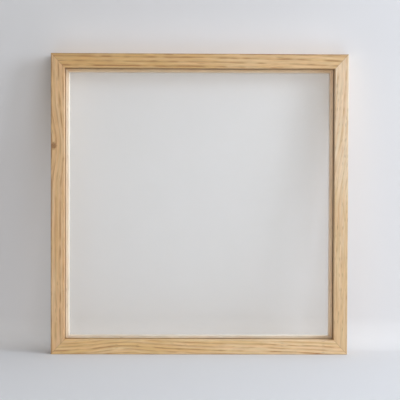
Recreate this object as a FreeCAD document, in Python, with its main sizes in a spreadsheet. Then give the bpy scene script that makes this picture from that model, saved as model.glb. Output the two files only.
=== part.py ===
"""A stretched screen printing frame: four mitred members, four liner strips, a mesh held by cords in a
groove at the back, and the splines, V-nails and brads inside. Millimetres, +Z up, -Y the squeegee side,
+Y the print side. The origin is the bottom centre of the whole frame."""

import FreeCAD, Part
import Sketcher
import math
import os

os.makedirs("parts", exist_ok=True)
doc = FreeCAD.newDocument("ScreenFrame")
Vector = FreeCAD.Vector
Rotation = FreeCAD.Rotation
Placement = FreeCAD.Placement

# The driving dimensions. A quirk is the small rebate that leaves a shadow line beside a liner.
DIMENSIONS = {
    "WellWidth": 457,
    "WellHeight": 460,
    "StileFace": 22.5,
    "RailFace": 24,
    "WoodDepth": 30,
    "OuterEasing": 1.2,
    "WellEasing": 0.5,
    "LinerDepth": 12,
    "StileLiner": 6.5,
    "RailLiner": 5.6,
    "LinerEasing": 1,
    "QuirkWidth": 1.2,
    "QuirkDepth": 3,
    "GrooveInset": 9.5,
    "GrooveWidth": 4.2,
    "GrooveDepth": 4.5,
    "CordDiameter": 3.8,
    "MeshThickness": 0.3,
    "SplineLength": 14,
    "SplineWidth": 12,
    "SplineThickness": 4,
    "SplineLevel": -4,
    "NailLeg": 6,
    "NailGauge": 0.8,
    "NailDepth": 10,
    "NailInset": 13,
    "BradLength": 15,
    "BradShank": 1.2,
    "BradHead": 2.2,
    "BradHeadHeight": 0.8,
    "BradPoint": 2,
    "BradInset": 7,
    "BradPitch": 170,
}

sheet = doc.addObject("Spreadsheet::Sheet", "Dimensions")
for row, (alias, number) in enumerate(DIMENSIONS.items(), start=1):
    sheet.set(f"A{row}", alias)
    sheet.set(f"B{row}", str(number))
    sheet.setAlias(f"B{row}", alias)
doc.recompute()


# --- Sums of sheet cells, each written as a tuple of (factor, alias) terms ---------------------------------


def size(terms):
    """The present value of a sum of cells."""
    return sum(factor * float(getattr(sheet, alias)) for factor, alias in terms)


def formula(terms):
    """The same sum as an expression that stays bound to the sheet."""
    return " + ".join(f"({factor}) * Dimensions.{alias}" for factor, alias in terms) or "0"


def minus(terms):
    return tuple((-factor, alias) for factor, alias in terms)


NOTHING = ()
# The wood and the mesh behind it share one middle plane, y = 0.
BACK = ((0.5, "WoodDepth"), (-0.5, "MeshThickness"))
LINER_FRONT = BACK + ((-1, "LinerDepth"),)


# --- Sketches and features ---------------------------------------------------------------------------------


def plane_sketch(body, name, level, corners):
    """A closed outline facing the front, at depth level, with each corner held at its (x, z) sums."""
    sketch = body.newObject("Sketcher::SketchObject", name)
    plane = [f for f in body.Origin.OriginFeatures if f.Role == "XZ_Plane"][0]
    sketch.AttachmentSupport = [(plane, "")]
    sketch.MapMode = "FlatFace"
    sketch.setExpression(".AttachmentOffset.Base.z", formula(minus(level)))
    points = [Vector(size(x), size(z), 0) for x, z in corners]
    count = len(points)
    for i, point in enumerate(points):
        sketch.addGeometry(Part.LineSegment(point, points[(i + 1) % count]), False)
    for i in range(count):
        sketch.addConstraint(Sketcher.Constraint("Coincident", i, 2, (i + 1) % count, 1))
    for i, (x, z) in enumerate(corners):
        for kind, terms in (("DistanceX", x), ("DistanceY", z)):
            held = sketch.addConstraint(Sketcher.Constraint(kind, -1, 1, i, 1, size(terms)))
            sketch.setExpression(f"Constraints[{held}]", formula(terms))
    return sketch


def pad(body, name, sketch, depth):
    """A solid from the outline towards the front."""
    feature = body.newObject("PartDesign::Pad", name)
    feature.Profile = sketch
    feature.setExpression("Length", formula(depth))
    sketch.Visibility = False
    doc.recompute()
    return feature


def pocket(body, name, sketch, depth, to_front):
    """A cut from the outline, towards the front or the back, that must take wood away."""
    before = body.Shape.Volume
    feature = body.newObject("PartDesign::Pocket", name)
    feature.Profile = sketch
    feature.setExpression("Length", formula(depth))
    feature.Reversed = to_front
    doc.recompute()
    if body.Shape.Volume > before - 1:
        raise RuntimeError(f"{body.Name} {name} cut nothing")
    return feature


def ease(body, name, lines, radius):
    """Rounds the long edges that run along X at the given (y, z) places."""
    base = body.Tip
    edges = []
    for number, edge in enumerate(base.Shape.Edges, start=1):
        start, end = edge.Vertexes[0].Point, edge.Vertexes[-1].Point
        runs_along_x = abs(start.y - end.y) < 1e-6 and abs(start.z - end.z) < 1e-6
        if runs_along_x and any(math.hypot(start.y - y, start.z - z) < 1e-6 for y, z in lines):
            edges.append(f"Edge{number}")
    if len(edges) != len(lines):
        raise RuntimeError(f"{body.Name} {name} found {len(edges)} of {len(lines)} edges")
    feature = body.newObject("PartDesign::Fillet", name)
    feature.Base = (base, edges)
    feature.setExpression("Radius", formula(radius))
    doc.recompute()
    return feature


def trapezoid(outer, inner, low, high):
    """Corners of a mitred strip: outer and inner are half lengths at its low and high edges."""
    return ((minus(outer), low), (outer, low), (inner, high), (minus(inner), high))


def staple(outer, inner, low, high, top):
    """Corners of a channel along a strip that turns up at both ends, to meet the next strip's channel."""
    return (
        (minus(outer), low),
        (outer, low),
        (outer, top),
        (inner, top),
        (inner, high),
        (minus(inner), high),
        (minus(inner), top),
        (minus(outer), top),
    )


# --- The four sides ----------------------------------------------------------------------------------------
# Every side is drawn lying along X, outer edge on z = 0 and the well above it, then turned into place.

RAIL = {
    "well": "WellWidth",
    "face": "RailFace",
    "end": "StileFace",
    "liner": "RailLiner",
    "end_liner": "StileLiner",
}
STILE = {
    "well": "WellHeight",
    "face": "StileFace",
    "end": "RailFace",
    "liner": "StileLiner",
    "end_liner": "RailLiner",
}
WIDTH = size(((1, "WellWidth"), (2, "StileFace")))
HEIGHT = size(((1, "WellHeight"), (2, "RailFace")))
UP = Vector(0, 1, 0)
SIDES = {
    "bottom": ("rail", RAIL, Placement(Vector(0, 0, 0), Rotation(UP, 0))),
    "top": ("rail", RAIL, Placement(Vector(0, 0, HEIGHT), Rotation(UP, 180))),
    "left": ("stile", STILE, Placement(Vector(-WIDTH / 2, 0, HEIGHT / 2), Rotation(UP, 90))),
    "right": ("stile", STILE, Placement(Vector(WIDTH / 2, 0, HEIGHT / 2), Rotation(UP, -90))),
}


def member_blank(side, names, place):
    """A mitred member with eased arrises and the mesh groove in its back."""
    body = doc.addObject("PartDesign::Body", f"{side}_member_blank")
    half_well = ((0.5, names["well"]),)
    face = ((1, names["face"]),)
    outer = half_well + ((1, names["end"]),)
    outline = plane_sketch(body, f"{side}_member_outline", BACK, trapezoid(outer, half_well, NOTHING, face))
    pad(body, f"{side}_member_pad", outline, ((1, "WoodDepth"),))
    back = size(BACK)
    front = back - size(((1, "WoodDepth"),))
    ease(body, f"{side}_outer_arris", ((front, 0), (back, 0)), ((1, "OuterEasing"),))
    ease(body, f"{side}_well_arris", ((front, size(face)),), ((1, "WellEasing"),))
    near = ((1, "GrooveInset"), (-0.5, "GrooveWidth"))
    far = ((1, "GrooveInset"), (0.5, "GrooveWidth"))
    channel = staple(half_well + far, half_well + near, face + minus(far), face + minus(near), face)
    groove = plane_sketch(body, f"{side}_groove_outline", BACK, channel)
    pocket(body, f"{side}_groove", groove, ((1, "GrooveDepth"),), True)
    body.Placement = place
    return body


def liner_blank(side, names, place):
    """A liner strip against the member's inner wall, flush with the back, with a quirk along its front."""
    body = doc.addObject("PartDesign::Body", f"{side}_liner_blank")
    half_well = ((0.5, names["well"]),)
    face = ((1, names["face"]),)
    inner = half_well + ((-1, names["end_liner"]),)
    edge = face + ((1, names["liner"]),)
    outline = plane_sketch(body, f"{side}_liner_outline", BACK, trapezoid(half_well, inner, face, edge))
    pad(body, f"{side}_liner_pad", outline, ((1, "LinerDepth"),))
    ease(body, f"{side}_liner_arris", ((size(LINER_FRONT), size(edge)),), ((1, "LinerEasing"),))
    quirk = ((1, "QuirkWidth"),)
    channel = staple(half_well, half_well + minus(quirk), face, face + quirk, edge)
    rebate = plane_sketch(body, f"{side}_quirk_outline", LINER_FRONT, channel)
    pocket(body, f"{side}_quirk", rebate, ((1, "QuirkDepth"),), False)
    body.Placement = place
    return body


def side_cord(side, names, place):
    """A cord along one side's groove. The stiles' cords stop between the rails' cords."""
    cord = doc.addObject("Part::Cylinder", f"{side}_cord")
    cord.Label = f"{side}_cord"
    cord.setExpression("Radius", "Dimensions.CordDiameter / 2")
    reach = ((1, names["well"]), (2, "GrooveInset"))
    if names is RAIL:
        length = reach + ((1, "CordDiameter"),)
    else:
        length = reach + ((-2, "GrooveWidth"), (1, "CordDiameter"))
    cord.setExpression("Height", formula(length))
    depth = size(BACK + ((-1, "GrooveDepth"), (0.5, "GrooveWidth")))
    height = size(((1, names["face"]), (-1, "GrooveInset")))
    lying = Placement(Vector(-size(length) / 2, depth, height), Rotation(UP, 90))
    cord.Placement = place.multiply(lying)
    return cord


# --- Splines, nails and brads ------------------------------------------------------------------------------


def mitres():
    """For each corner, its name, the mitre's inner and outer ends and the direction between them."""
    for upright, up in (("bottom", -1), ("top", 1)):
        for hand, along in (("left", -1), ("right", 1)):
            half_width = along * size(((0.5, "WellWidth"),))
            half_height = up * size(((0.5, "WellHeight"),))
            inner = Vector(half_width, 0, HEIGHT / 2 + half_height)
            outer = Vector(along * WIDTH / 2, 0, HEIGHT / 2 + up * HEIGHT / 2)
            yield f"{upright}_{hand}", inner, outer, (outer - inner).normalize()


def corner_spline(corner, inner, outer, way):
    """A loose wooden tongue across the middle of a mitre, hidden in the joint."""
    spline = doc.addObject("Part::Box", f"{corner}_spline")
    spline.Label = f"{corner}_spline"
    spline.setExpression("Length", "Dimensions.SplineLength")
    spline.setExpression("Width", "Dimensions.SplineThickness")
    spline.setExpression("Height", "Dimensions.SplineWidth")
    turn = Rotation(way, Vector(0, 1, 0), way.cross(Vector(0, 1, 0)), "XYZ")
    centre = (inner + outer) * 0.5 + Vector(0, size(((1, "SplineLevel"),)), 0)
    half = Vector(
        size(((0.5, "SplineLength"),)), size(((0.5, "SplineThickness"),)), size(((0.5, "SplineWidth"),))
    )
    spline.Placement = Placement(centre - turn.multVec(half), turn)
    return spline


def nail_pattern():
    """One V of steel strip, drawn with its point on the origin and its legs open along +X."""
    body = doc.addObject("PartDesign::Body", "nail_pattern")
    leg = ((math.sqrt(0.5), "NailLeg"),)
    gauge = ((math.sqrt(0.5), "NailGauge"),)
    tip = ((math.sqrt(2), "NailGauge"),)
    corners = (
        (NOTHING, NOTHING),
        (leg, minus(leg)),
        (leg + gauge, minus(leg) + gauge),
        (tip, NOTHING),
        (leg + gauge, leg + minus(gauge)),
        (leg, leg),
    )
    outline = plane_sketch(body, "nail_outline", BACK, corners)
    pad(body, "nail_pad", outline, ((1, "NailDepth"),))
    return body


def brad_pattern():
    """One brad with its head's top on the origin and its point down -Z."""
    body = doc.addObject("PartDesign::Body", "brad_pattern")
    head = ((0.5, "BradHead"),)
    shank = ((0.5, "BradShank"),)
    under_head = ((-1, "BradHeadHeight"),)
    shoulder = ((-1, "BradLength"), (1, "BradPoint"))
    corners = (
        (NOTHING, NOTHING),
        (head, NOTHING),
        (head, under_head),
        (shank, under_head),
        (shank, shoulder),
        (NOTHING, ((-1, "BradLength"),)),
    )
    outline = plane_sketch(body, "brad_outline", NOTHING, corners)
    turned = body.newObject("PartDesign::Revolution", "brad_turned")
    turned.Profile = outline
    turned.ReferenceAxis = (outline, ["V_Axis"])
    turned.Angle = 360
    doc.recompute()
    return body


def placed_copies(label, pattern, places):
    """Identical pieces as one group of separate solids."""
    copies = []
    for number, place in enumerate(places, start=1):
        copy = doc.addObject("App::Link", f"{label}_{number}")
        copy.LinkedObject = pattern
        copy.LinkTransform = False
        copy.Placement = place
        copies.append(copy)
    group = doc.addObject("Part::Compound", label)
    group.Label = label
    group.Links = copies
    doc.recompute()
    return group


def nail_places():
    for _, inner, outer, way in mitres():
        yield Placement(outer - way * size(((1, "NailInset"),)), Rotation(Vector(1, 0, 0), way))


def brad_places():
    depth = size(BACK + ((-1, "BradInset"),))
    for _, names, place in SIDES.values():
        liner_face = size(((1, names["face"]), (1, names["liner"])))
        for step in (-1, 0, 1):
            along = step * size(((1, "BradPitch"),))
            yield place.multiply(Placement(Vector(along, depth, liner_face), Rotation()))


# --- Assembly ----------------------------------------------------------------------------------------------



def fitted(label, blank, fittings):
    """A blank with the seats of its splines, nails and brads taken out."""
    part = doc.addObject("Part::Cut", label)
    part.Label = label
    part.Base = blank
    part.Tool = fittings
    return part


def stretched_mesh():
    """The mesh across the back, as far as the grooves that take its edges."""
    cloth = doc.addObject("Part::Box", "mesh")
    cloth.Label = "mesh"
    across = ((1, "WellWidth"), (2, "GrooveInset"), (-1, "GrooveWidth"))
    upright = ((1, "WellHeight"), (2, "GrooveInset"), (-1, "GrooveWidth"))
    cloth.setExpression("Length", formula(across))
    cloth.setExpression("Height", formula(upright))
    cloth.setExpression("Width", "Dimensions.MeshThickness")
    corner = Vector(-size(across) / 2, size(BACK), (HEIGHT - size(upright)) / 2)
    cloth.Placement = Placement(corner, Rotation())
    return cloth


parts = [corner_spline(*corner) for corner in mitres()]
parts.append(placed_copies("corner_nails", nail_pattern(), nail_places()))
parts.append(placed_copies("liner_brads", brad_pattern(), brad_places()))
fittings = doc.addObject("Part::Compound", "fittings")
fittings.Links = list(parts)
doc.recompute()
for side, (kind, names, place) in SIDES.items():
    parts.append(fitted(f"{side}_{kind}", member_blank(side, names, place), fittings))
    parts.append(fitted(f"{side}_liner", liner_blank(side, names, place), fittings))
    parts.append(side_cord(side, names, place))
parts.append(stretched_mesh())
doc.recompute()

# --- Tests and files ---------------------------------------------------------------------------------------

for item in doc.Objects:
    if "Invalid" in item.State or "Error" in item.State:
        raise RuntimeError(f"{item.Name} failed: {item.State}")
for part in parts:
    if part.Shape.isNull() or not part.Shape.isValid():
        raise RuntimeError(f"{part.Label} has no valid shape")
for part in parts:
    part.Shape.exportStep(f"parts/{part.Label}.step")
    print(f"{part.Label}: {len(part.Shape.Solids)} solids, {part.Shape.Volume / 1000:.3f} cm3")
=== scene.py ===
"""Looks of a stretched screen printing frame: pale softwood members and liners, a fine mesh and its cords."""

import math

import bmesh
import bpy
from mathutils import Euler, Matrix, Vector


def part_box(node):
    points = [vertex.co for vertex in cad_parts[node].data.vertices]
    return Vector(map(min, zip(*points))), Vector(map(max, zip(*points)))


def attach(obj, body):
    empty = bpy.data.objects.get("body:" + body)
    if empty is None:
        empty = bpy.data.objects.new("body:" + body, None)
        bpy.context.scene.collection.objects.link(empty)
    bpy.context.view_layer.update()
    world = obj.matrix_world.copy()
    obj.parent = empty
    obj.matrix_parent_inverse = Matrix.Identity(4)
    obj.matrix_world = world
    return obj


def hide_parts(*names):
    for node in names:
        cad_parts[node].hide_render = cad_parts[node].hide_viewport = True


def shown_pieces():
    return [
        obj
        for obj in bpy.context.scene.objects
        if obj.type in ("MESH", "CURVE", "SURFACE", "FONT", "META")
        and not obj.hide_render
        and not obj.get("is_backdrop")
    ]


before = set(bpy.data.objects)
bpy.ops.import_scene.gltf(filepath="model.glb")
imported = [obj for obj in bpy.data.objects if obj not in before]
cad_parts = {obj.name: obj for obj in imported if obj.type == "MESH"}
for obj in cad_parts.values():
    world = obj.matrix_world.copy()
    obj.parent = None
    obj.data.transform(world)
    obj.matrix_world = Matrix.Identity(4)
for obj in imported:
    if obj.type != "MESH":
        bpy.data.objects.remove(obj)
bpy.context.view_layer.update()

# --- Sizes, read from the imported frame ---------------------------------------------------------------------

MM = 0.001
RAIL_LOW, RAIL_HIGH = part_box("bottom_rail")
STILE_LOW, STILE_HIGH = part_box("left_stile")
CORD_LOW, CORD_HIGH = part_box("bottom_cord")
WIDTH = RAIL_HIGH.x - RAIL_LOW.x
HEIGHT = STILE_HIGH.z - STILE_LOW.z
FRONT = RAIL_LOW.y
BACK = RAIL_HIGH.y
RAIL_FACE = RAIL_HIGH.z - RAIL_LOW.z
STILE_FACE = STILE_HIGH.x - STILE_LOW.x
LINER_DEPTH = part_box("top_liner")[0].y - FRONT
HALF_WELL = {"rail": WIDTH / 2 - STILE_FACE, "stile": HEIGHT / 2 - RAIL_FACE}
FACE = {"rail": RAIL_FACE, "stile": STILE_FACE}
END_FACE = {"rail": STILE_FACE, "stile": RAIL_FACE}


def shade(red, green, blue):
    """A screen colour, 0 to 255 a channel, as linear light with full alpha."""
    linear = []
    for value in (red, green, blue):
        part = value / 255
        linear.append(part / 12.92 if part <= 0.04045 else ((part + 0.055) / 1.055) ** 2.4)
    return (*linear, 1.0)


# --- Shader node helpers -----------------------------------------------------------------------------------


def put(tree, kind, inputs=None, **settings):
    """Adds a node. Each input is a number, a colour or the output socket that feeds it."""
    node = tree.nodes.new(kind)
    for name, value in settings.items():
        setattr(node, name, value)
    for name, value in (inputs or {}).items():
        if isinstance(value, bpy.types.NodeSocket):
            tree.links.new(value, node.inputs[name])
        else:
            node.inputs[name].default_value = value
    return node


def maths(tree, operation, *values):
    """One Math node and its result."""
    return put(tree, "ShaderNodeMath", dict(enumerate(values)), operation=operation).outputs[0]


def plus(tree, first, *others):
    total = first
    for value in others:
        total = maths(tree, "ADD", total, value)
    return total


def times(tree, first, *others):
    product = first
    for value in others:
        product = maths(tree, "MULTIPLY", product, value)
    return product


def minus(tree, first, second):
    return maths(tree, "SUBTRACT", first, second)


def divided(tree, first, second):
    return maths(tree, "DIVIDE", first, second)


def graded(tree, value, gain, start):
    """Start plus gain times value."""
    return maths(tree, "MULTIPLY_ADD", value, gain, start)


def ramp(tree, value, low, high, bottom=0.0, top=1.0):
    """A soft step from bottom to top as value goes from low to high."""
    inputs = {"Value": value, "From Min": low, "From Max": high, "To Min": bottom, "To Max": top}
    return put(tree, "ShaderNodeMapRange", inputs, interpolation_type="SMOOTHSTEP").outputs["Result"]


def noise(tree, spot, scale=1.0, detail=2.0, roughness=0.5):
    """Cloudy noise round a half."""
    inputs = {"Vector": spot, "Scale": scale, "Detail": detail, "Roughness": roughness}
    return put(tree, "ShaderNodeTexNoise", inputs).outputs["Fac"]


def swing(tree, spot, detail, roughness):
    """Cloudy noise as a swing to both sides of nought, seldom past one."""
    return times(tree, minus(tree, noise(tree, spot, 1.0, detail, roughness), 0.5), 4.0)


def blend_colour(tree, amount, first, second, kind="MIX"):
    inputs = {0: amount, 6: first, 7: second}
    return put(tree, "ShaderNodeMix", inputs, data_type="RGBA", blend_type=kind).outputs[2]


def dimmed(tree, colour, amount):
    """The colour times amount."""
    return put(tree, "ShaderNodeVectorMath", {0: colour, "Scale": amount}, operation="SCALE").outputs[0]


def vector(tree, x, y, z):
    return put(tree, "ShaderNodeCombineXYZ", {"X": x, "Y": y, "Z": z}).outputs[0]


def parts_of(tree, position):
    return put(tree, "ShaderNodeSeparateXYZ", {0: position}).outputs


def object_point(tree):
    """The place on the object, in metres in the frame's own axes."""
    return put(tree, "ShaderNodeTexCoord").outputs["Object"]


def length_of(tree, first, second):
    """The length of a flat vector from its two parts."""
    return maths(tree, "SQRT", plus(tree, times(tree, first, first), times(tree, second, second)))


def scaled(tree, position, length, width, shift, squeeze=1.0):
    """A board position in pattern lengths and widths, with the pattern moved on by shift.

    Squeeze is how many pattern widths the width holds.
    """
    along, across, deep = parts_of(tree, position)
    per_width = divided(tree, squeeze, width)
    return vector(
        tree,
        divided(tree, along, length),
        times(tree, across, per_width),
        plus(tree, times(tree, deep, per_width), shift),
    )


def effect(name, inputs, outputs):
    """An empty node group with named sockets: its tree, its input sockets and its output sockets."""
    tree = bpy.data.node_groups.new(name, "ShaderNodeTree")
    for label, kind, value in inputs:
        socket = tree.interface.new_socket(label, in_out="INPUT", socket_type=f"NodeSocket{kind}")
        if value is not None:
            socket.default_value = value
    for label, kind in outputs:
        tree.interface.new_socket(label, in_out="OUTPUT", socket_type=f"NodeSocket{kind}")
    taken = tree.nodes.new("NodeGroupInput").outputs
    given = tree.nodes.new("NodeGroupOutput").inputs
    return tree, taken, given


def use(tree, group, inputs):
    """Places an effect in a material with its own values."""
    return put(tree, "ShaderNodeGroup", inputs, node_tree=group).outputs


def new_material(name, roughness=0.5):
    """A material with one Principled shader: its tree and the shader's inputs."""
    material = bpy.data.materials.new(name)
    material.use_nodes = True
    tree = material.node_tree
    surface = tree.nodes["Principled BSDF"].inputs
    surface["Roughness"].default_value = roughness
    return material, tree, surface


def set_relief(tree, surface, height, strength, distance):
    """Roughens a surface with a fine relief."""
    relief = put(tree, "ShaderNodeBump", {"Height": height, "Strength": strength, "Distance": distance})
    tree.links.new(relief.outputs["Normal"], surface["Normal"])


# --- Wood effects ------------------------------------------------------------------------------------------
# Positions inside a board are (along the grain, across the face from the outer edge, depth from the front).

RIPPLE_LENGTH = 22 * MM
RIPPLE_WIDTH = 26 * MM
SWAYS_ACROSS = 4.0
FADE_LENGTH = 30 * MM
RING_SPREAD = 5.3


def growth_rings_effect():
    """Late wood lines of rings that curve round the tree's heart. Each line fades in and out on its own."""
    tree, taken, given = effect(
        "growth_rings",
        [
            ("Position", "Vector", None),
            ("Ring Width", "Float", 4 * MM),
            ("Heart Across", "Float", 60 * MM),
            ("Heart Deep", "Float", 40 * MM),
            ("Waver", "Float", 1 * MM),
            ("Waver Length", "Float", 100 * MM),
            ("Ripple", "Float", 0.4 * MM),
            ("Faintest", "Float", 0.3),
            ("Shift", "Float", 0.0),
        ],
        [("Late Wood", "Float")],
    )
    position, shift, waver_length = taken["Position"], taken["Shift"], taken["Waver Length"]
    along, across, deep = parts_of(tree, position)
    slow = scaled(tree, position, waver_length, waver_length, shift, SWAYS_ACROSS)
    quick = scaled(tree, position, RIPPLE_LENGTH, RIPPLE_WIDTH, shift, SWAYS_ACROSS)
    sway = times(tree, swing(tree, slow, detail=2.0, roughness=0.45), taken["Waver"])
    ripple = times(tree, swing(tree, quick, detail=3.0, roughness=0.55), taken["Ripple"])
    from_heart = plus(tree, across, taken["Heart Across"], plus(tree, sway, ripple))
    radius = length_of(tree, from_heart, plus(tree, deep, taken["Heart Deep"]))
    count = plus(tree, divided(tree, radius, taken["Ring Width"]), shift)
    place = maths(tree, "FRACT", count)
    number = maths(tree, "FLOOR", count)
    tone = put(tree, "ShaderNodeTexWhiteNoise", {"W": number}, noise_dimensions="1D").outputs["Value"]
    own_spot = vector(tree, divided(tree, along, FADE_LENGTH), times(tree, number, RING_SPREAD), 0.0)
    patchy = noise(tree, own_spot, detail=1.0)
    fading = ramp(tree, patchy, low=0.32, high=0.62, bottom=taken["Faintest"], top=1.0)
    darkening = ramp(tree, place, low=0.40, high=0.86)
    ending = ramp(tree, place, low=0.92, high=1.0, bottom=1.0, top=0.0)
    strength = times(tree, graded(tree, tone, gain=0.5, start=0.5), fading)
    tree.links.new(times(tree, times(tree, darkening, ending), strength), given["Late Wood"])
    return tree


# For each pattern of the fibre: its length along the grain, its width, and how many finer layers it has.
FIBRE_PATTERNS = {
    "Fibre": (22 * MM, 0.45 * MM, 3.0),
    "Streak": (26 * MM, 2.0 * MM, 3.0),
    "Flame": (90 * MM, 7 * MM, 2.0),
    "Blush": (45 * MM, 5 * MM, 1.0),
}


def fibre_effect():
    """Fine fibres and broader streaks along the grain, and short dark pores that open on the surface."""
    tree, taken, given = effect(
        "wood_fibre",
        [
            ("Position", "Vector", None),
            ("Pore Length", "Float", 7 * MM),
            ("Pore Width", "Float", 0.9 * MM),
            ("Pore Share", "Float", 0.2),
            ("Shift", "Float", 0.0),
        ],
        [(name, "Float") for name in (*FIBRE_PATTERNS, "Pore")],
    )
    position, shift = taken["Position"], taken["Shift"]
    for name, (length, width, detail) in FIBRE_PATTERNS.items():
        own_shift = plus(tree, shift, len(name))
        spot = scaled(tree, position, length, width, own_shift)
        cloud = noise(tree, spot, detail=detail, roughness=0.6)
        tree.links.new(ramp(tree, cloud, low=0.25, high=0.75), given[name])
    cell = scaled(tree, position, taken["Pore Length"], taken["Pore Width"], shift)
    cells = put(tree, "ShaderNodeTexVoronoi", {"Vector": cell, "Scale": 0.6, "Randomness": 1.0})
    dash = ramp(tree, cells.outputs["Distance"], low=0.12, high=0.40, bottom=1.0, top=0.0)
    pick = put(tree, "ShaderNodeSeparateColor", {0: cells.outputs["Color"]}).outputs[0]
    chosen = ramp(tree, minus(tree, taken["Pore Share"], pick), low=-0.05, high=0.05)
    tree.links.new(times(tree, dash, chosen), given["Pore"])
    return tree


PUSH_ACROSS = 0.55
KNOT_OVAL = 1.15
KNOT_RAGGED = 1.1
KNOT_RINGS = 14.0


def knot_effect():
    """Pushes the grain aside round a small knot, and marks the knot itself."""
    tree, taken, given = effect(
        "knot",
        [
            ("Position", "Vector", None),
            ("Knot Along", "Float", 0.0),
            ("Knot Across", "Float", 0.0),
            ("Knot Size", "Float", 4 * MM),
            ("Push", "Float", 5 * MM),
            ("Reach", "Float", 30 * MM),
        ],
        [("Position", "Vector"), ("Knot", "Float"), ("Knot Ring", "Float")],
    )
    along, across, deep = parts_of(tree, taken["Position"])
    off_along = minus(tree, along, taken["Knot Along"])
    off_across = minus(tree, across, taken["Knot Across"])
    far_along = divided(tree, off_along, taken["Reach"])
    far_across = divided(tree, off_across, times(tree, taken["Reach"], PUSH_ACROSS))
    far = plus(tree, times(tree, far_along, far_along), times(tree, far_across, far_across))
    near = maths(tree, "EXPONENT", times(tree, far, -1.0))
    pushed = minus(tree, across, times(tree, near, taken["Push"]))
    tree.links.new(vector(tree, along, pushed, deep), given["Position"])
    ragged = noise(tree, taken["Position"], scale=380.0)
    rough = times(tree, minus(tree, ragged, 0.5), KNOT_RAGGED)
    wide = divided(tree, off_along, times(tree, taken["Knot Size"], KNOT_OVAL))
    tall = divided(tree, off_across, taken["Knot Size"])
    distance = plus(tree, length_of(tree, wide, tall), rough)
    tree.links.new(ramp(tree, distance, low=0.55, high=1.35, bottom=1.0, top=0.0), given["Knot"])
    ring = maths(tree, "SINE", times(tree, distance, KNOT_RINGS))
    tree.links.new(graded(tree, ring, gain=0.5, start=0.5), given["Knot Ring"])
    return tree


def mitre_effect():
    """A thin dark line where the board's mitred ends close on its neighbours."""
    tree, taken, given = effect(
        "mitre_line",
        [
            ("Position", "Vector", None),
            ("Half Well", "Float", 0.2),
            ("Face", "Float", 0.02),
            ("End Face", "Float", 0.02),
            ("Line Width", "Float", 0.5 * MM),
        ],
        [("Line", "Float")],
    )
    along, across, _ = parts_of(tree, taken["Position"])
    face, end_face = taken["Face"], taken["End Face"]
    past = minus(tree, maths(tree, "ABSOLUTE", along), taken["Half Well"])
    below = minus(tree, across, face)
    slope = length_of(tree, face, end_face)
    off = divided(tree, plus(tree, times(tree, past, face), times(tree, below, end_face)), slope)
    depth = divided(tree, maths(tree, "ABSOLUTE", off), taken["Line Width"])
    tree.links.new(ramp(tree, depth, low=0.2, high=1.0, bottom=1.0, top=0.0), given["Line"])
    return tree


def edge_darkening_effect():
    """A darker band along the board's outer arris, and painted shade in the narrow quirk beside the liner,
    where shade falls in the recess.
    """
    tree, taken, given = effect(
        "edge_darkening",
        [
            ("Position", "Vector", None),
            ("Arris Reach", "Float", 2.6 * MM),
            ("Gap Across", "Float", 20 * MM),
            ("Gap Width", "Float", 1.2 * MM),
            ("Gap Deep", "Float", 18 * MM),
        ],
        [("Arris", "Float"), ("Gap", "Float")],
    )
    _, across, deep = parts_of(tree, taken["Position"])
    patchy = noise(tree, taken["Position"], scale=28.0, detail=3.0)
    uneven = graded(tree, minus(tree, patchy, 0.5), gain=5 * MM, start=across)
    from_arris = divided(tree, uneven, taken["Arris Reach"])
    tree.links.new(ramp(tree, from_arris, low=0.3, high=1.0, bottom=1.0, top=0.0), given["Arris"])
    # Painted shade: a mask of the narrow quirk beside the liner, behind the liner's front.
    middle = graded(tree, taken["Gap Width"], gain=0.5, start=taken["Gap Across"])
    off = maths(tree, "ABSOLUTE", minus(tree, across, middle))
    from_middle = divided(tree, off, taken["Gap Width"])
    beside = ramp(tree, from_middle, low=0.55, high=0.8, bottom=1.0, top=0.0)
    past_front = ramp(tree, minus(tree, deep, taken["Gap Deep"]), low=-1.5 * MM, high=0.5 * MM)
    tree.links.new(times(tree, beside, past_front), given["Gap"])
    return tree


BLUSH_TINT = (1.0, 0.93, 0.90, 1.0)
PORE_DARKNESS = 0.42
PORE_DEPTH = 1.5


def bare_wood_effect():
    """Colour, roughness and relief of bare sanded wood from its grain."""
    tree, taken, given = effect(
        "bare_wood",
        [
            ("Early Wood", "Color", (1, 1, 1, 1)),
            ("Golden Wood", "Color", (1, 1, 1, 1)),
            ("Late Wood", "Color", (1, 1, 1, 1)),
            ("Dark Wood", "Color", (1, 1, 1, 1)),
            ("Line", "Float", 0.0),
            ("Fibre", "Float", 0.5),
            ("Streak", "Float", 0.5),
            ("Flame", "Float", 0.5),
            ("Blush", "Float", 0.0),
            ("Pore", "Float", 0.0),
            ("Marks And Shade", "Float", 0.0),
        ],
        [("Color", "Color"), ("Roughness", "Float"), ("Height", "Float")],
    )
    line, fibre, pore = taken["Line"], taken["Fibre"], taken["Pore"]
    ground = blend_colour(tree, taken["Flame"], taken["Early Wood"], taken["Golden Wood"])
    grain = blend_colour(tree, line, ground, taken["Late Wood"])
    fine = graded(tree, fibre, gain=0.10, start=0.95)
    broad = graded(tree, taken["Streak"], gain=0.20, start=0.90)
    lit = dimmed(tree, grain, times(tree, fine, broad))
    blushed = blend_colour(tree, taken["Blush"], lit, BLUSH_TINT, "MULTIPLY")
    pored = blend_colour(tree, times(tree, pore, PORE_DARKNESS), blushed, taken["Dark Wood"])
    # This input draws the colour towards the dark wood; it carries dark marks and painted shade.
    tree.links.new(blend_colour(tree, taken["Marks And Shade"], pored, taken["Dark Wood"]), given["Color"])
    dull = graded(tree, fibre, gain=0.12, start=0.42)
    tree.links.new(graded(tree, line, gain=-0.08, start=dull), given["Roughness"])
    raised = graded(tree, line, gain=0.5, start=fibre)
    tree.links.new(graded(tree, pore, gain=-PORE_DEPTH, start=raised), given["Height"])
    return tree


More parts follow.
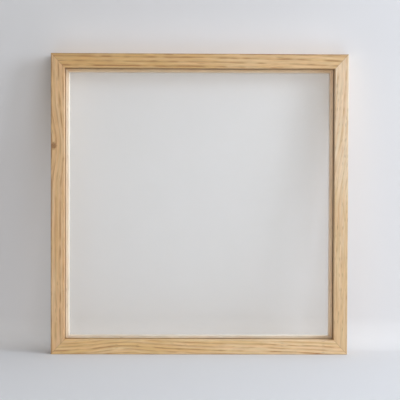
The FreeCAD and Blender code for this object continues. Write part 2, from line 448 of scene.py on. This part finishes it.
RINGS = growth_rings_effect()
FIBRE = fibre_effect()
KNOT = knot_effect()
MITRE = mitre_effect()
EDGE_DARKENING = edge_darkening_effect()
BARE_WOOD = bare_wood_effect()

# --- Boards ------------------------------------------------------------------------------------------------
# Each side turns the row's axes into its board's own: two directions and where they start.

SIDES = {
    "bottom": {"kind": "rail", "along": (1, 0, 0), "across": (0, 0, 1), "start": (0, 0)},
    "top": {"kind": "rail", "along": (1, 0, 0), "across": (0, 0, -1), "start": (0, HEIGHT)},
    "left": {"kind": "stile", "along": (0, 0, 1), "across": (1, 0, 0), "start": (-HEIGHT / 2, WIDTH / 2)},
    "right": {"kind": "stile", "along": (0, 0, 1), "across": (-1, 0, 0), "start": (-HEIGHT / 2, WIDTH / 2)},
}

KNOT_PLACE = {
    "Knot Along": 98 * MM,
    "Knot Across": 5 * MM,
    "Knot Size": 5.2 * MM,
    "Push": 10 * MM,
    "Reach": 44 * MM,
}

# The wood of each member. Colours are screen colours, and lengths are in millimetres.
# Heart: how far the tree's heart lies past the outer edge, and how far in front of the face.
# Waver: how far the rings sway, over what length, and how far they ripple.
# Drift: how far the grain wanders across the board, as (share of its length, millimetres).
# Pores: their length, their width and the share of places that have one.
# Arris and the quirk's painted shade: how dark the band along the outer arris is, and how much painted shade
# the quirk beside the liner gets. Painted sheen: what is added to the golden share at the two ends, which
# makes the end towards the light paler.
MEMBERS = {
    # The bottom rail's colours are lighter, a painted light standing for the floor's bounce on it.
    "bottom": {
        "early": (235, 208, 166),
        "golden": (226, 193, 135),
        "late": (189, 147, 99),
        "dark": (104, 72, 42),
        "ring": 5.6,
        "heart": (70, 30),
        "waver": (0.9, 70, 0.35),
        "faintest": 0.2,
        "shift": 0.3,
        "drift": ((0.0, 6.0), (0.12, 3.0), (0.25, -3.5), (0.36, 0.0), (0.55, 4.0), (0.78, 7.0), (1.0, 12.0)),
        "pores": (7, 0.9, 0.10),
        "arris": 0.12,
        "gap": 0.03,
        "gold": (0.4, -0.4),
    },
    "top": {
        "early": (224, 193, 147),
        "golden": (214, 178, 120),
        "late": (174, 128, 78),
        "dark": (112, 70, 38),
        "ring": 6.4,
        "heart": (60, 50),
        "waver": (0.7, 90, 0.30),
        "faintest": 0.15,
        "shift": 0.55,
        "drift": ((0.0, 4.0), (0.25, 3.0), (0.5, 2.0), (0.75, 0.0), (1.0, -4.0)),
        "pores": (16, 1.4, 0.12),
        "arris": 0.45,
        "gap": 0.38,
        "gold": (0.5, -0.45),
    },
    "left": {
        "early": (229, 197, 155),
        "golden": (222, 184, 132),
        "late": (183, 141, 97),
        "dark": (116, 74, 44),
        "ring": 6.2,
        "heart": (55, 45),
        "waver": (1.1, 60, 0.55),
        "faintest": 0.12,
        "shift": 0.2,
        "drift": ((0.0, 0.0), (0.3, 0.6), (0.6, 0.0), (0.8, 1.5), (1.0, 5.0)),
        "pores": (9, 1.0, 0.12),
        "arris": 0.48,
        "gap": 0.02,
        "gold": (0.0, 0.0),
        "knot": KNOT_PLACE,
    },
    # The right stile's colours are paler, a painted sheen from the light on that side.
    "right": {
        "early": (234, 213, 182),
        "golden": (222, 193, 149),
        "late": (211, 178, 135),
        "dark": (116, 72, 30),
        "ring": 5.6,
        "heart": (40, 60),
        "waver": (1.6, 120, 0.6),
        "faintest": 0.1,
        "shift": 0.7,
        "drift": ((0.0, 0.0), (0.35, 2.0), (0.5, 4.0), (0.62, 12.0), (0.75, 24.0), (0.9, 30.0), (1.0, 31.0)),
        "pores": (8, 1.0, 0.26),
        "arris": 0.0,
        "gap": 0.7,
        "gold": (0.6, -0.6),
    },
}

# How many millimetres of drift the whole height of a drift curve stands for.
DRIFT_SPAN = 80.0


def board_position(tree, side):
    """The position inside one side's board, in metres."""
    point = object_point(tree)
    facts = SIDES[side]
    steps = []
    for direction, start in zip((facts["along"], facts["across"]), facts["start"]):
        turned = put(tree, "ShaderNodeVectorMath", {0: point, 1: direction}, operation="DOT_PRODUCT")
        steps.append(plus(tree, turned.outputs["Value"], start))
    deep = minus(tree, parts_of(tree, point)[1], FRONT)
    return vector(tree, *steps, deep)


def drifted(tree, position, half_length, drift):
    """The same position with the grain's slow drift across the board taken off."""
    along, across, deep = parts_of(tree, position)
    share = graded(tree, along, 0.5 / half_length, 0.5)
    node = put(tree, "ShaderNodeFloatCurve", {"Value": share})
    curve = node.mapping.curves[0]
    while len(curve.points) < len(drift):
        curve.points.new(0.5, 0.5)
    for point, (place, offset) in zip(curve.points, drift):
        point.location = (place, 0.5 + offset / DRIFT_SPAN)
    node.mapping.update()
    wandered = times(tree, minus(tree, node.outputs[0], 0.5), DRIFT_SPAN * MM)
    return vector(tree, along, plus(tree, across, wandered), deep)


def dress(tree, surface, wood, strength):
    """Leads bare wood's colour, roughness and relief to a surface."""
    tree.links.new(wood["Color"], surface["Base Color"])
    tree.links.new(wood["Roughness"], surface["Roughness"])
    set_relief(tree, surface, wood["Height"], strength, 0.1 * MM)


def board_wood(name, side, facts, half_length, joint_dirt=0.4):
    """Bare wood for one board: rings, fibres, pores, any knot, the mitre lines, a darker band along the outer
    arris and painted shade in the quirk beside the liner.
    """
    material, tree, surface = new_material(name)
    kind = SIDES[side]["kind"]
    position = board_position(tree, side)
    flow = drifted(tree, position, half_length, facts["drift"])
    knot = None
    if "knot" in facts:
        knot = use(tree, KNOT, {"Position": flow, **facts["knot"]})
        flow = knot["Position"]
    heart_across, heart_deep = facts["heart"]
    waver, waver_length, ripple = facts["waver"]
    rings = use(
        tree,
        RINGS,
        {
            "Position": flow,
            "Ring Width": facts["ring"] * MM,
            "Heart Across": heart_across * MM,
            "Heart Deep": heart_deep * MM,
            "Waver": waver * MM,
            "Waver Length": waver_length * MM,
            "Ripple": ripple * MM,
            "Faintest": facts["faintest"],
            "Shift": facts["shift"],
        },
    )
    length, width, share = facts["pores"]
    pores = {"Pore Length": length * MM, "Pore Width": width * MM, "Pore Share": share}
    fibre = use(tree, FIBRE, {"Position": flow, "Shift": facts["shift"], **pores})
    ends = {"Half Well": HALF_WELL[kind], "Face": FACE[kind], "End Face": END_FACE[kind]}
    joint = use(tree, MITRE, {"Position": position, **ends})
    edge = use(tree, EDGE_DARKENING, {"Position": position, "Gap Across": FACE[kind], "Gap Deep": LINER_DEPTH})
    line = rings["Late Wood"]
    # Dark marks and painted shade, all drawn towards the dark wood: the mitre lines, the band along the arris,
    # the painted shade in the quirk and the knot's core.
    marks_and_shade = times(tree, joint["Line"], joint_dirt)
    marks_and_shade = maths(tree, "MAXIMUM", marks_and_shade, times(tree, edge["Arris"], facts["arris"]))
    # Painted shade in the quirk beside the liner, strongest on the right and top, the sides away from the
    # light.
    marks_and_shade = maths(tree, "MAXIMUM", marks_and_shade, times(tree, edge["Gap"], facts["gap"]))
    if knot:
        core = times(tree, knot["Knot"], graded(tree, knot["Knot Ring"], gain=0.26, start=0.26))
        marks_and_shade = maths(tree, "MAXIMUM", marks_and_shade, core)
        line = maths(tree, "MAXIMUM", line, knot["Knot"])
    along = parts_of(tree, position)[0]
    # A painted sheen: less golden share towards the end nearer the light, so that end is paler.
    first, last = facts["gold"]
    painted_sheen_ramp = ramp(tree, along, low=-half_length, high=half_length, bottom=first, top=last)
    sheened = put(tree, "ShaderNodeMath", {0: fibre["Flame"], 1: painted_sheen_ramp}, operation="ADD", use_clamp=True)
    colours = {"Early Wood": "early", "Golden Wood": "golden", "Late Wood": "late", "Dark Wood": "dark"}
    wood = use(
        tree,
        BARE_WOOD,
        {
            **{socket: shade(*facts[key]) for socket, key in colours.items()},
            **{key: fibre[key] for key in ("Fibre", "Streak", "Blush", "Pore")},
            "Flame": sheened.outputs[0],
            "Line": line,
            "Marks And Shade": marks_and_shade,
        },
    )
    dress(tree, surface, wood, strength=0.25)
    return material


def paint(node, material):
    """Gives a CAD node its finish."""
    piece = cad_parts[node]
    for place in piece.material_slots:
        place.material = material


for side, facts in MEMBERS.items():
    kind = SIDES[side]["kind"]
    half_length = HALF_WELL[kind] + END_FACE[kind]
    paint(f"{side}_{kind}", board_wood(f"{side}_{kind}_wood", side, facts, half_length))

LINER_GOLDEN = (5, 9, 16)
LINER_LATE = (18, 26, 34)


def darker(colour, steps):
    """A screen colour less its steps, channel by channel."""
    return tuple(value - step for value, step in zip(colour, steps))


# For each liner: where its pattern starts, how much painted shade its quirk gets, and how pale it is.
LINERS = {
    "bottom": (0.1, 0.02, (230, 225, 214)),
    "top": (0.35, 0.05, (240, 225, 198)),
    "left": (0.6, 0.02, (249, 245, 233)),
    "right": (0.85, 0.6, (246, 229, 206)),
}
for side, (shift, gap, pale) in LINERS.items():
    kind = SIDES[side]["kind"]
    facts = {
        "early": pale,
        "golden": darker(pale, LINER_GOLDEN),
        "late": darker(pale, LINER_LATE),
        "dark": (108, 72, 38),
        "ring": 3.0,
        "heart": (50, 30),
        "waver": (0.5, 110, 0.2),
        "faintest": 0.3,
        "shift": shift,
        "drift": ((0.0, 0.0), (0.5, 1.0), (1.0, 0.0)),
        "pores": (8, 0.8, 0.08),
        "arris": 0.0,
        "gap": gap,
        "gold": (0.0, 0.0),
    }
    paint(f"{side}_liner", board_wood(f"{side}_liner_wood", side, facts, HALF_WELL[kind], joint_dirt=0.3))


def spline_wood():
    """Plain pale beech of the corner splines, with its fibres across the corner."""
    material, tree, surface = new_material("spline_beech", 0.55)
    pores = {"Pore Length": 3 * MM, "Pore Width": 0.5 * MM, "Pore Share": 0.3}
    fibre = use(tree, FIBRE, {"Position": object_point(tree), **pores})
    wood = use(
        tree,
        BARE_WOOD,
        {
            "Early Wood": shade(206, 168, 130),
            "Golden Wood": shade(196, 154, 114),
            "Late Wood": shade(170, 126, 88),
            "Dark Wood": shade(112, 76, 50),
            **{key: fibre[key] for key in ("Fibre", "Streak", "Flame", "Blush", "Pore")},
        },
    )
    dress(tree, surface, wood, strength=0.2)
    return material


def fastener_steel():
    """Bright drawn steel of the corner nails and brads, with fine scratches and a little tarnish."""
    material, tree, surface = new_material("drawn_steel", 0.35)
    surface["Metallic"].default_value = 1.0
    point = object_point(tree)
    fine = noise(tree, point, scale=900.0, detail=3.0)
    tarnish = ramp(tree, noise(tree, point, scale=120.0), low=0.4, high=0.75)
    colour = blend_colour(tree, tarnish, shade(176, 176, 178), shade(128, 120, 108))
    tree.links.new(colour, surface["Base Color"])
    tree.links.new(graded(tree, fine, gain=0.3, start=0.2), surface["Roughness"])
    set_relief(tree, surface, fine, strength=0.2, distance=0.05 * MM)
    return material


beech = spline_wood()
for row in ("top", "bottom"):
    for side in ("left", "right"):
        paint(f"{row}_{side}_spline", beech)
steel = fastener_steel()
paint("corner_nails", steel)
paint("liner_brads", steel)

# --- Pieces made from shapes -------------------------------------------------------------------------------


def new_piece(name, shape, material, smooth=True):
    """An object in the scene from a finished bmesh, with its one material."""
    data = bpy.data.meshes.new(name)
    shape.to_mesh(data)
    shape.free()
    if smooth:
        data.shade_smooth()
    data.materials.append(material)
    piece = bpy.data.objects.new(name, data)
    bpy.context.scene.collection.objects.link(piece)
    return piece


def new_verts(made):
    """The vertices among what a bmesh operator has made."""
    return [item for item in made["geom"] if isinstance(item, bmesh.types.BMVert)]


# --- Retaining cords ---------------------------------------------------------------------------------------


def cotton_material():
    """Off-white spun cotton with fine fluff and a few yellowed patches."""
    material, tree, surface = new_material("cotton_cord", 0.85)
    surface["Sheen Weight"].default_value = 0.3
    point = object_point(tree)
    fluff = noise(tree, point, scale=2500.0, detail=3.0)
    yellowed = times(tree, noise(tree, point, scale=60.0), 0.3)
    clean = blend_colour(tree, fluff, shade(214, 210, 198), shade(238, 236, 228))
    colour = blend_colour(tree, yellowed, clean, shade(200, 192, 172))
    tree.links.new(colour, surface["Base Color"])
    set_relief(tree, surface, fluff, strength=0.5, distance=0.1 * MM)
    return material


STRANDS = 3
STRAND_SIDES = 8
STRAND_SHARE = 0.465
LAY_LENGTH = 9 * MM
TWIST_STEPS = 12
WELD_DISTANCE = 0.01 * MM


def twisted_cord(node, cotton):
    """Three strands laid together along one groove, in place of the plain rod."""
    low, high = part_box(node)
    size = high - low
    lies_across = size.x > size.z
    length = max(size.x, size.z)
    radius = min(size.x, size.z) / 2
    strand = STRAND_SHARE * radius
    turns = round(length / LAY_LENGTH)
    pitch = length / turns
    rope = bmesh.new()
    for number in range(STRANDS):
        turned = Euler((0, 0, math.radians(360 / STRANDS * number))).to_matrix()
        ring = bmesh.ops.create_circle(rope, segments=STRAND_SIDES, radius=strand)
        bmesh.ops.translate(rope, verts=ring["verts"], vec=turned @ Vector((radius - strand, 0, -length / 2)))
    bmesh.ops.spin(
        rope,
        geom=rope.verts[:] + rope.edges[:],
        cent=(0, 0, 0),
        axis=(0, 0, 1),
        dvec=(0, 0, pitch / TWIST_STEPS),
        angle=math.tau,
        steps=TWIST_STEPS,
    )
    one_turn = rope.verts[:] + rope.edges[:] + rope.faces[:]
    for turn in range(1, turns):
        made = bmesh.ops.duplicate(rope, geom=one_turn)
        bmesh.ops.translate(rope, verts=new_verts(made), vec=(0, 0, pitch * turn))
    bmesh.ops.remove_doubles(rope, verts=rope.verts, dist=WELD_DISTANCE)
    bmesh.ops.holes_fill(rope, edges=[edge for edge in rope.edges if edge.is_boundary])
    bmesh.ops.recalc_face_normals(rope, faces=rope.faces)
    if lies_across:
        laid = Euler((0, math.radians(90), 0)).to_matrix()
        bmesh.ops.rotate(rope, verts=rope.verts, cent=(0, 0, 0), matrix=laid)
    bmesh.ops.translate(rope, verts=rope.verts, vec=(low + high) / 2)
    piece = new_piece(f"{node}_twist", rope, cotton)
    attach(piece, "root")
    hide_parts(node)


cotton = cotton_material()
for side in SIDES:
    twisted_cord(f"{side}_cord", cotton)

# --- Mesh --------------------------------------------------------------------------------------------------

THREAD_PITCH = 0.3 * MM


def thread_near(tree, place):
    """One on the middle of a thread, nought halfway to the next."""
    wave = maths(tree, "SINE", times(tree, place, math.pi / THREAD_PITCH))
    return minus(tree, 1.0, times(tree, wave, wave))


def mesh_weave_material():
    """Fine white monofilament: threads both ways, clearer between them, and a veil that varies a little."""
    material, tree, surface = new_material("mesh_weave", 0.35)
    point = object_point(tree)
    x, _, z = parts_of(tree, point)
    thread = maths(tree, "MAXIMUM", thread_near(tree, x), thread_near(tree, z))
    cover = graded(tree, ramp(tree, thread, low=0.35, high=0.8), gain=0.45, start=0.7)
    veil = graded(tree, noise(tree, point, scale=6.0), gain=0.08, start=0.17)
    tree.links.new(times(tree, cover, veil), surface["Alpha"])
    tone = graded(tree, thread, gain=0.1, start=0.9)
    tree.links.new(dimmed(tree, shade(246, 246, 244)[:3], tone), surface["Base Color"])
    set_relief(tree, surface, thread, strength=0.3, distance=0.05 * MM)
    return material


CLOTH_SQUARES = 48
CLOTH_THICKNESS = 0.12 * MM
CLOTH_LIE = BACK + CLOTH_THICKNESS / 2 + 0.02 * MM
GROOVE_FLOOR = CORD_LOW.y - 0.1 * MM
GROOVE_WIDTH = CORD_HIGH.z - CORD_LOW.z + 0.2 * MM
FOLD_ROUND = 0.4 * MM
TAIL_SHORT = 1.6 * MM

# How far past the flat cloth each fold line lies, and its depth. The tail ends a little short of the back.
FOLDS = (
    (0.05 * MM, CLOTH_LIE - 0.1 * MM),
    (0.12 * MM, CLOTH_LIE - 0.5 * MM),
    (0.12 * MM, GROOVE_FLOOR + FOLD_ROUND),
    (0.40 * MM, GROOVE_FLOOR),
    (GROOVE_WIDTH - FOLD_ROUND, GROOVE_FLOOR),
    (GROOVE_WIDTH, GROOVE_FLOOR + FOLD_ROUND),
    (GROOVE_WIDTH, CLOTH_LIE - TAIL_SHORT),
)


def stretched_mesh():
    """The cloth across the back, tucked over the groove's inner arris, down and under the cord."""
    low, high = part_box("mesh")
    middle = (low + high) / 2
    half_width, half_height = (high.x - low.x) / 2, (high.z - low.z) / 2
    cloth = bmesh.new()
    bmesh.ops.create_grid(cloth, x_segments=CLOTH_SQUARES, y_segments=CLOTH_SQUARES, size=1.0)
    bmesh.ops.scale(cloth, verts=cloth.verts, vec=(half_width, half_height, 1))
    upright = Euler((math.radians(90), 0, 0)).to_matrix()
    bmesh.ops.rotate(cloth, verts=cloth.verts, cent=(0, 0, 0), matrix=upright)
    bmesh.ops.translate(cloth, verts=cloth.verts, vec=(0, CLOTH_LIE, middle.z))
    about_middle = Matrix.Translation((0, 0, -middle.z))
    reach, depth = 0.0, CLOTH_LIE
    for next_reach, next_depth in FOLDS:
        rim = [edge for edge in cloth.edges if edge.is_boundary]
        verts = new_verts(bmesh.ops.extrude_edge_only(cloth, edges=rim))
        wider = (half_width + next_reach) / (half_width + reach)
        taller = (half_height + next_reach) / (half_height + reach)
        bmesh.ops.scale(cloth, verts=verts, vec=(wider, 1, taller), space=about_middle)
        bmesh.ops.translate(cloth, verts=verts, vec=(0, next_depth - depth, 0))
        reach, depth = next_reach, next_depth
    bmesh.ops.recalc_face_normals(cloth, faces=cloth.faces)
    piece = new_piece("mesh_cloth", cloth, mesh_weave_material(), smooth=False)
    skin = piece.modifiers.new("thickness", "SOLIDIFY")
    skin.thickness = CLOTH_THICKNESS
    skin.offset = 0.0
    skin.use_even_offset = True
    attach(piece, "root")
    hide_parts("mesh")


stretched_mesh()

# --- Stage, light and camera -------------------------------------------------------------------------------

ROOM = 4.0
NEAR_FLOOR = -0.42
FAR_FLOOR = -1.1
FAR_TONE = 0.6
PAINTED_LIGHT_ABOVE = 0.14
WALL_FOOT = BACK + 60 * MM
WALL_AT_TOP = BACK + 2 * MM
WALL_LEAN = (WALL_FOOT - WALL_AT_TOP) / HEIGHT
SWEEP_RADIUS = 48 * MM
SWEEP_STEPS = 24


def stage_sheet(name, profile, material):
    """A part of the studio as wide as the room, from its profile as (y, z) points."""
    sheet = bmesh.new()
    rows = [[sheet.verts.new((x, *point)) for x in (-ROOM, ROOM)] for point in profile]
    for (left, right), (next_left, next_right) in zip(rows, rows[1:]):
        sheet.faces.new((left, right, next_right, next_left))
    piece = new_piece(name, sheet, material)
    piece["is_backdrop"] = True


def studio_paint(name, far=1.0, painted_light_above=0.0, seen_from_behind=True):
    """Matt near-white paint.

    Far is its tone well in front of the frame. The painted light above the frame is how much paler the paint
    is just over it, lifting the shade where the frame blocks the floor's bounce.
    Paint that isn't seen from behind is clear from there, so that the frame's back can be seen.
    """
    material, tree, surface = new_material(name, 0.9)
    surface["Specular IOR Level"].default_value = 0.1
    point = object_point(tree)
    aside, near, height = parts_of(tree, point)
    mottle = noise(tree, point, scale=3.0, detail=3.0)
    colour = blend_colour(tree, mottle, shade(227, 228, 232), shade(230, 231, 234))
    tone = ramp(tree, near, low=FAR_FLOOR, high=NEAR_FLOOR, bottom=far, top=1.0)
    # A painted light on the wall just over the frame, lifting the shade where the frame blocks the floor's
    # bounce.
    if painted_light_above:
        over = minus(tree, height, HEIGHT)
        rising = ramp(tree, over, low=-20 * MM, high=5 * MM)
        fading = ramp(tree, over, low=5 * MM, high=95 * MM, bottom=painted_light_above, top=0.0)
        off_middle = maths(tree, "ABSOLUTE", aside)
        beside = ramp(tree, off_middle, low=0.4 * WIDTH, high=0.6 * WIDTH, bottom=1.0, top=0.0)
        tone = plus(tree, tone, times(tree, rising, fading, beside))
    tree.links.new(dimmed(tree, colour, tone), surface["Base Color"])
    if not seen_from_behind:
        shader = tree.nodes["Principled BSDF"]
        clear = put(tree, "ShaderNodeBsdfTransparent")
        facing = put(tree, "ShaderNodeNewGeometry").outputs["Backfacing"]
        mix = put(tree, "ShaderNodeMixShader", {0: facing, 1: shader.outputs[0], 2: clear.outputs[0]})
        tree.links.new(mix.outputs[0], tree.nodes["Material Output"].inputs["Surface"])
    return material


def swept_wall():
    """The wall's profile: a turn up from the floor, then straight and leaning over the frame's back."""
    turn = math.radians(90) + math.atan(WALL_LEAN)
    start = WALL_FOOT - SWEEP_RADIUS * math.tan(turn / 2)
    profile = []
    for step in range(SWEEP_STEPS + 1):
        angle = turn * step / SWEEP_STEPS
        profile.append((start + SWEEP_RADIUS * math.sin(angle), SWEEP_RADIUS * (1 - math.cos(angle))))
    profile.append((WALL_FOOT - WALL_LEAN * ROOM, ROOM))
    return profile


stage_sheet("studio_floor", [(-ROOM, 0), (ROOM, 0)], studio_paint("floor_paint", far=FAR_TONE))
wall_paint = studio_paint("wall_paint", painted_light_above=PAINTED_LIGHT_ABOVE, seen_from_behind=False)
stage_sheet("studio_wall", swept_wall(), wall_paint)


def soft_light(name, azimuth, elevation, distance, size, power, colour=(1.0, 1.0, 1.0), receivers=None):
    """A soft rectangular light that looks at the frame's middle. Azimuth turns from the front towards +X."""
    data = bpy.data.lights.new(name, "AREA")
    data.shape = "RECTANGLE"
    data.size, data.size_y = size
    data.energy = power
    data.color = colour
    lamp = bpy.data.objects.new(name, data)
    bpy.context.scene.collection.objects.link(lamp)
    turn, rise = math.radians(azimuth), math.radians(elevation)
    away = Vector((math.sin(turn) * math.cos(rise), -math.cos(turn) * math.cos(rise), math.sin(rise)))
    lamp.location = Vector((0, 0, HEIGHT / 2)) + away * distance
    lamp.rotation_euler = away.to_track_quat("Z", "Y").to_euler()
    if receivers:
        lamp.light_linking.receiver_collection = receivers
        lamp.light_linking.blocker_collection = receivers


# For each light: azimuth and elevation in degrees, distance and size in metres, power in watts, and colour.
LIGHTS = {
    "window": (66, 18, 2.4, (0.8, 1.2), 30.8, (0.84, 0.915, 1.0)),
    "overhead": (30, 76, 2.4, (0.9, 0.9), 6.2, (1.0, 0.97, 0.94)),
    "high_window": (35, 35, 2.4, (0.9, 0.9), 8.0, (0.90, 0.93, 1.0)),
    "front_fill": (10, 6, 2.4, (1.0, 0.8), 7.6, (1.0, 0.82, 0.68)),
    "left_fill": (-20, 12, 2.4, (0.9, 0.9), 2.1, (1.0, 0.86, 0.55)),
}
for name, facts in LIGHTS.items():
    soft_light(name, *facts)
frame_pieces = bpy.data.collections.new("frame_pieces")
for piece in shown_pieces():
    frame_pieces.objects.link(piece)
soft_light("back_fill", 155, 25, 2.2, (1.4, 1.4), 26.0, receivers=frame_pieces)

world = bpy.data.worlds.new("studio_air")
world.use_nodes = True
air = world.node_tree.nodes["Background"].inputs
air["Color"].default_value = (0.96, 1.0, 0.98, 1.0)
air["Strength"].default_value = 0.26
bpy.context.scene.world = world
bpy.context.scene.view_settings.view_transform = "Standard"

# Pitch, yaw and roll are how many degrees the camera looks down, looks to the right and leans to the left.
CAMERA_PLACE = (-0.023, FRONT - 1.8, 0.296)
CAMERA_PITCH, CAMERA_YAW, CAMERA_ROLL = 1.10, 0.75, 0.20
SENSOR_WIDTH = 36.0
LENS_LENGTH = 96.0
lens = bpy.data.cameras.new("camera")
lens.sensor_width = SENSOR_WIDTH
lens.lens = LENS_LENGTH
camera = bpy.data.objects.new("camera", lens)
bpy.context.scene.collection.objects.link(camera)
camera.location = CAMERA_PLACE
aimed = Euler((math.radians(90 - CAMERA_PITCH), 0, math.radians(-CAMERA_YAW))).to_matrix()
leaning = Euler((0, 0, math.radians(CAMERA_ROLL))).to_matrix()
camera.rotation_euler = (aimed @ leaning).to_euler()
bpy.context.scene.camera = camera
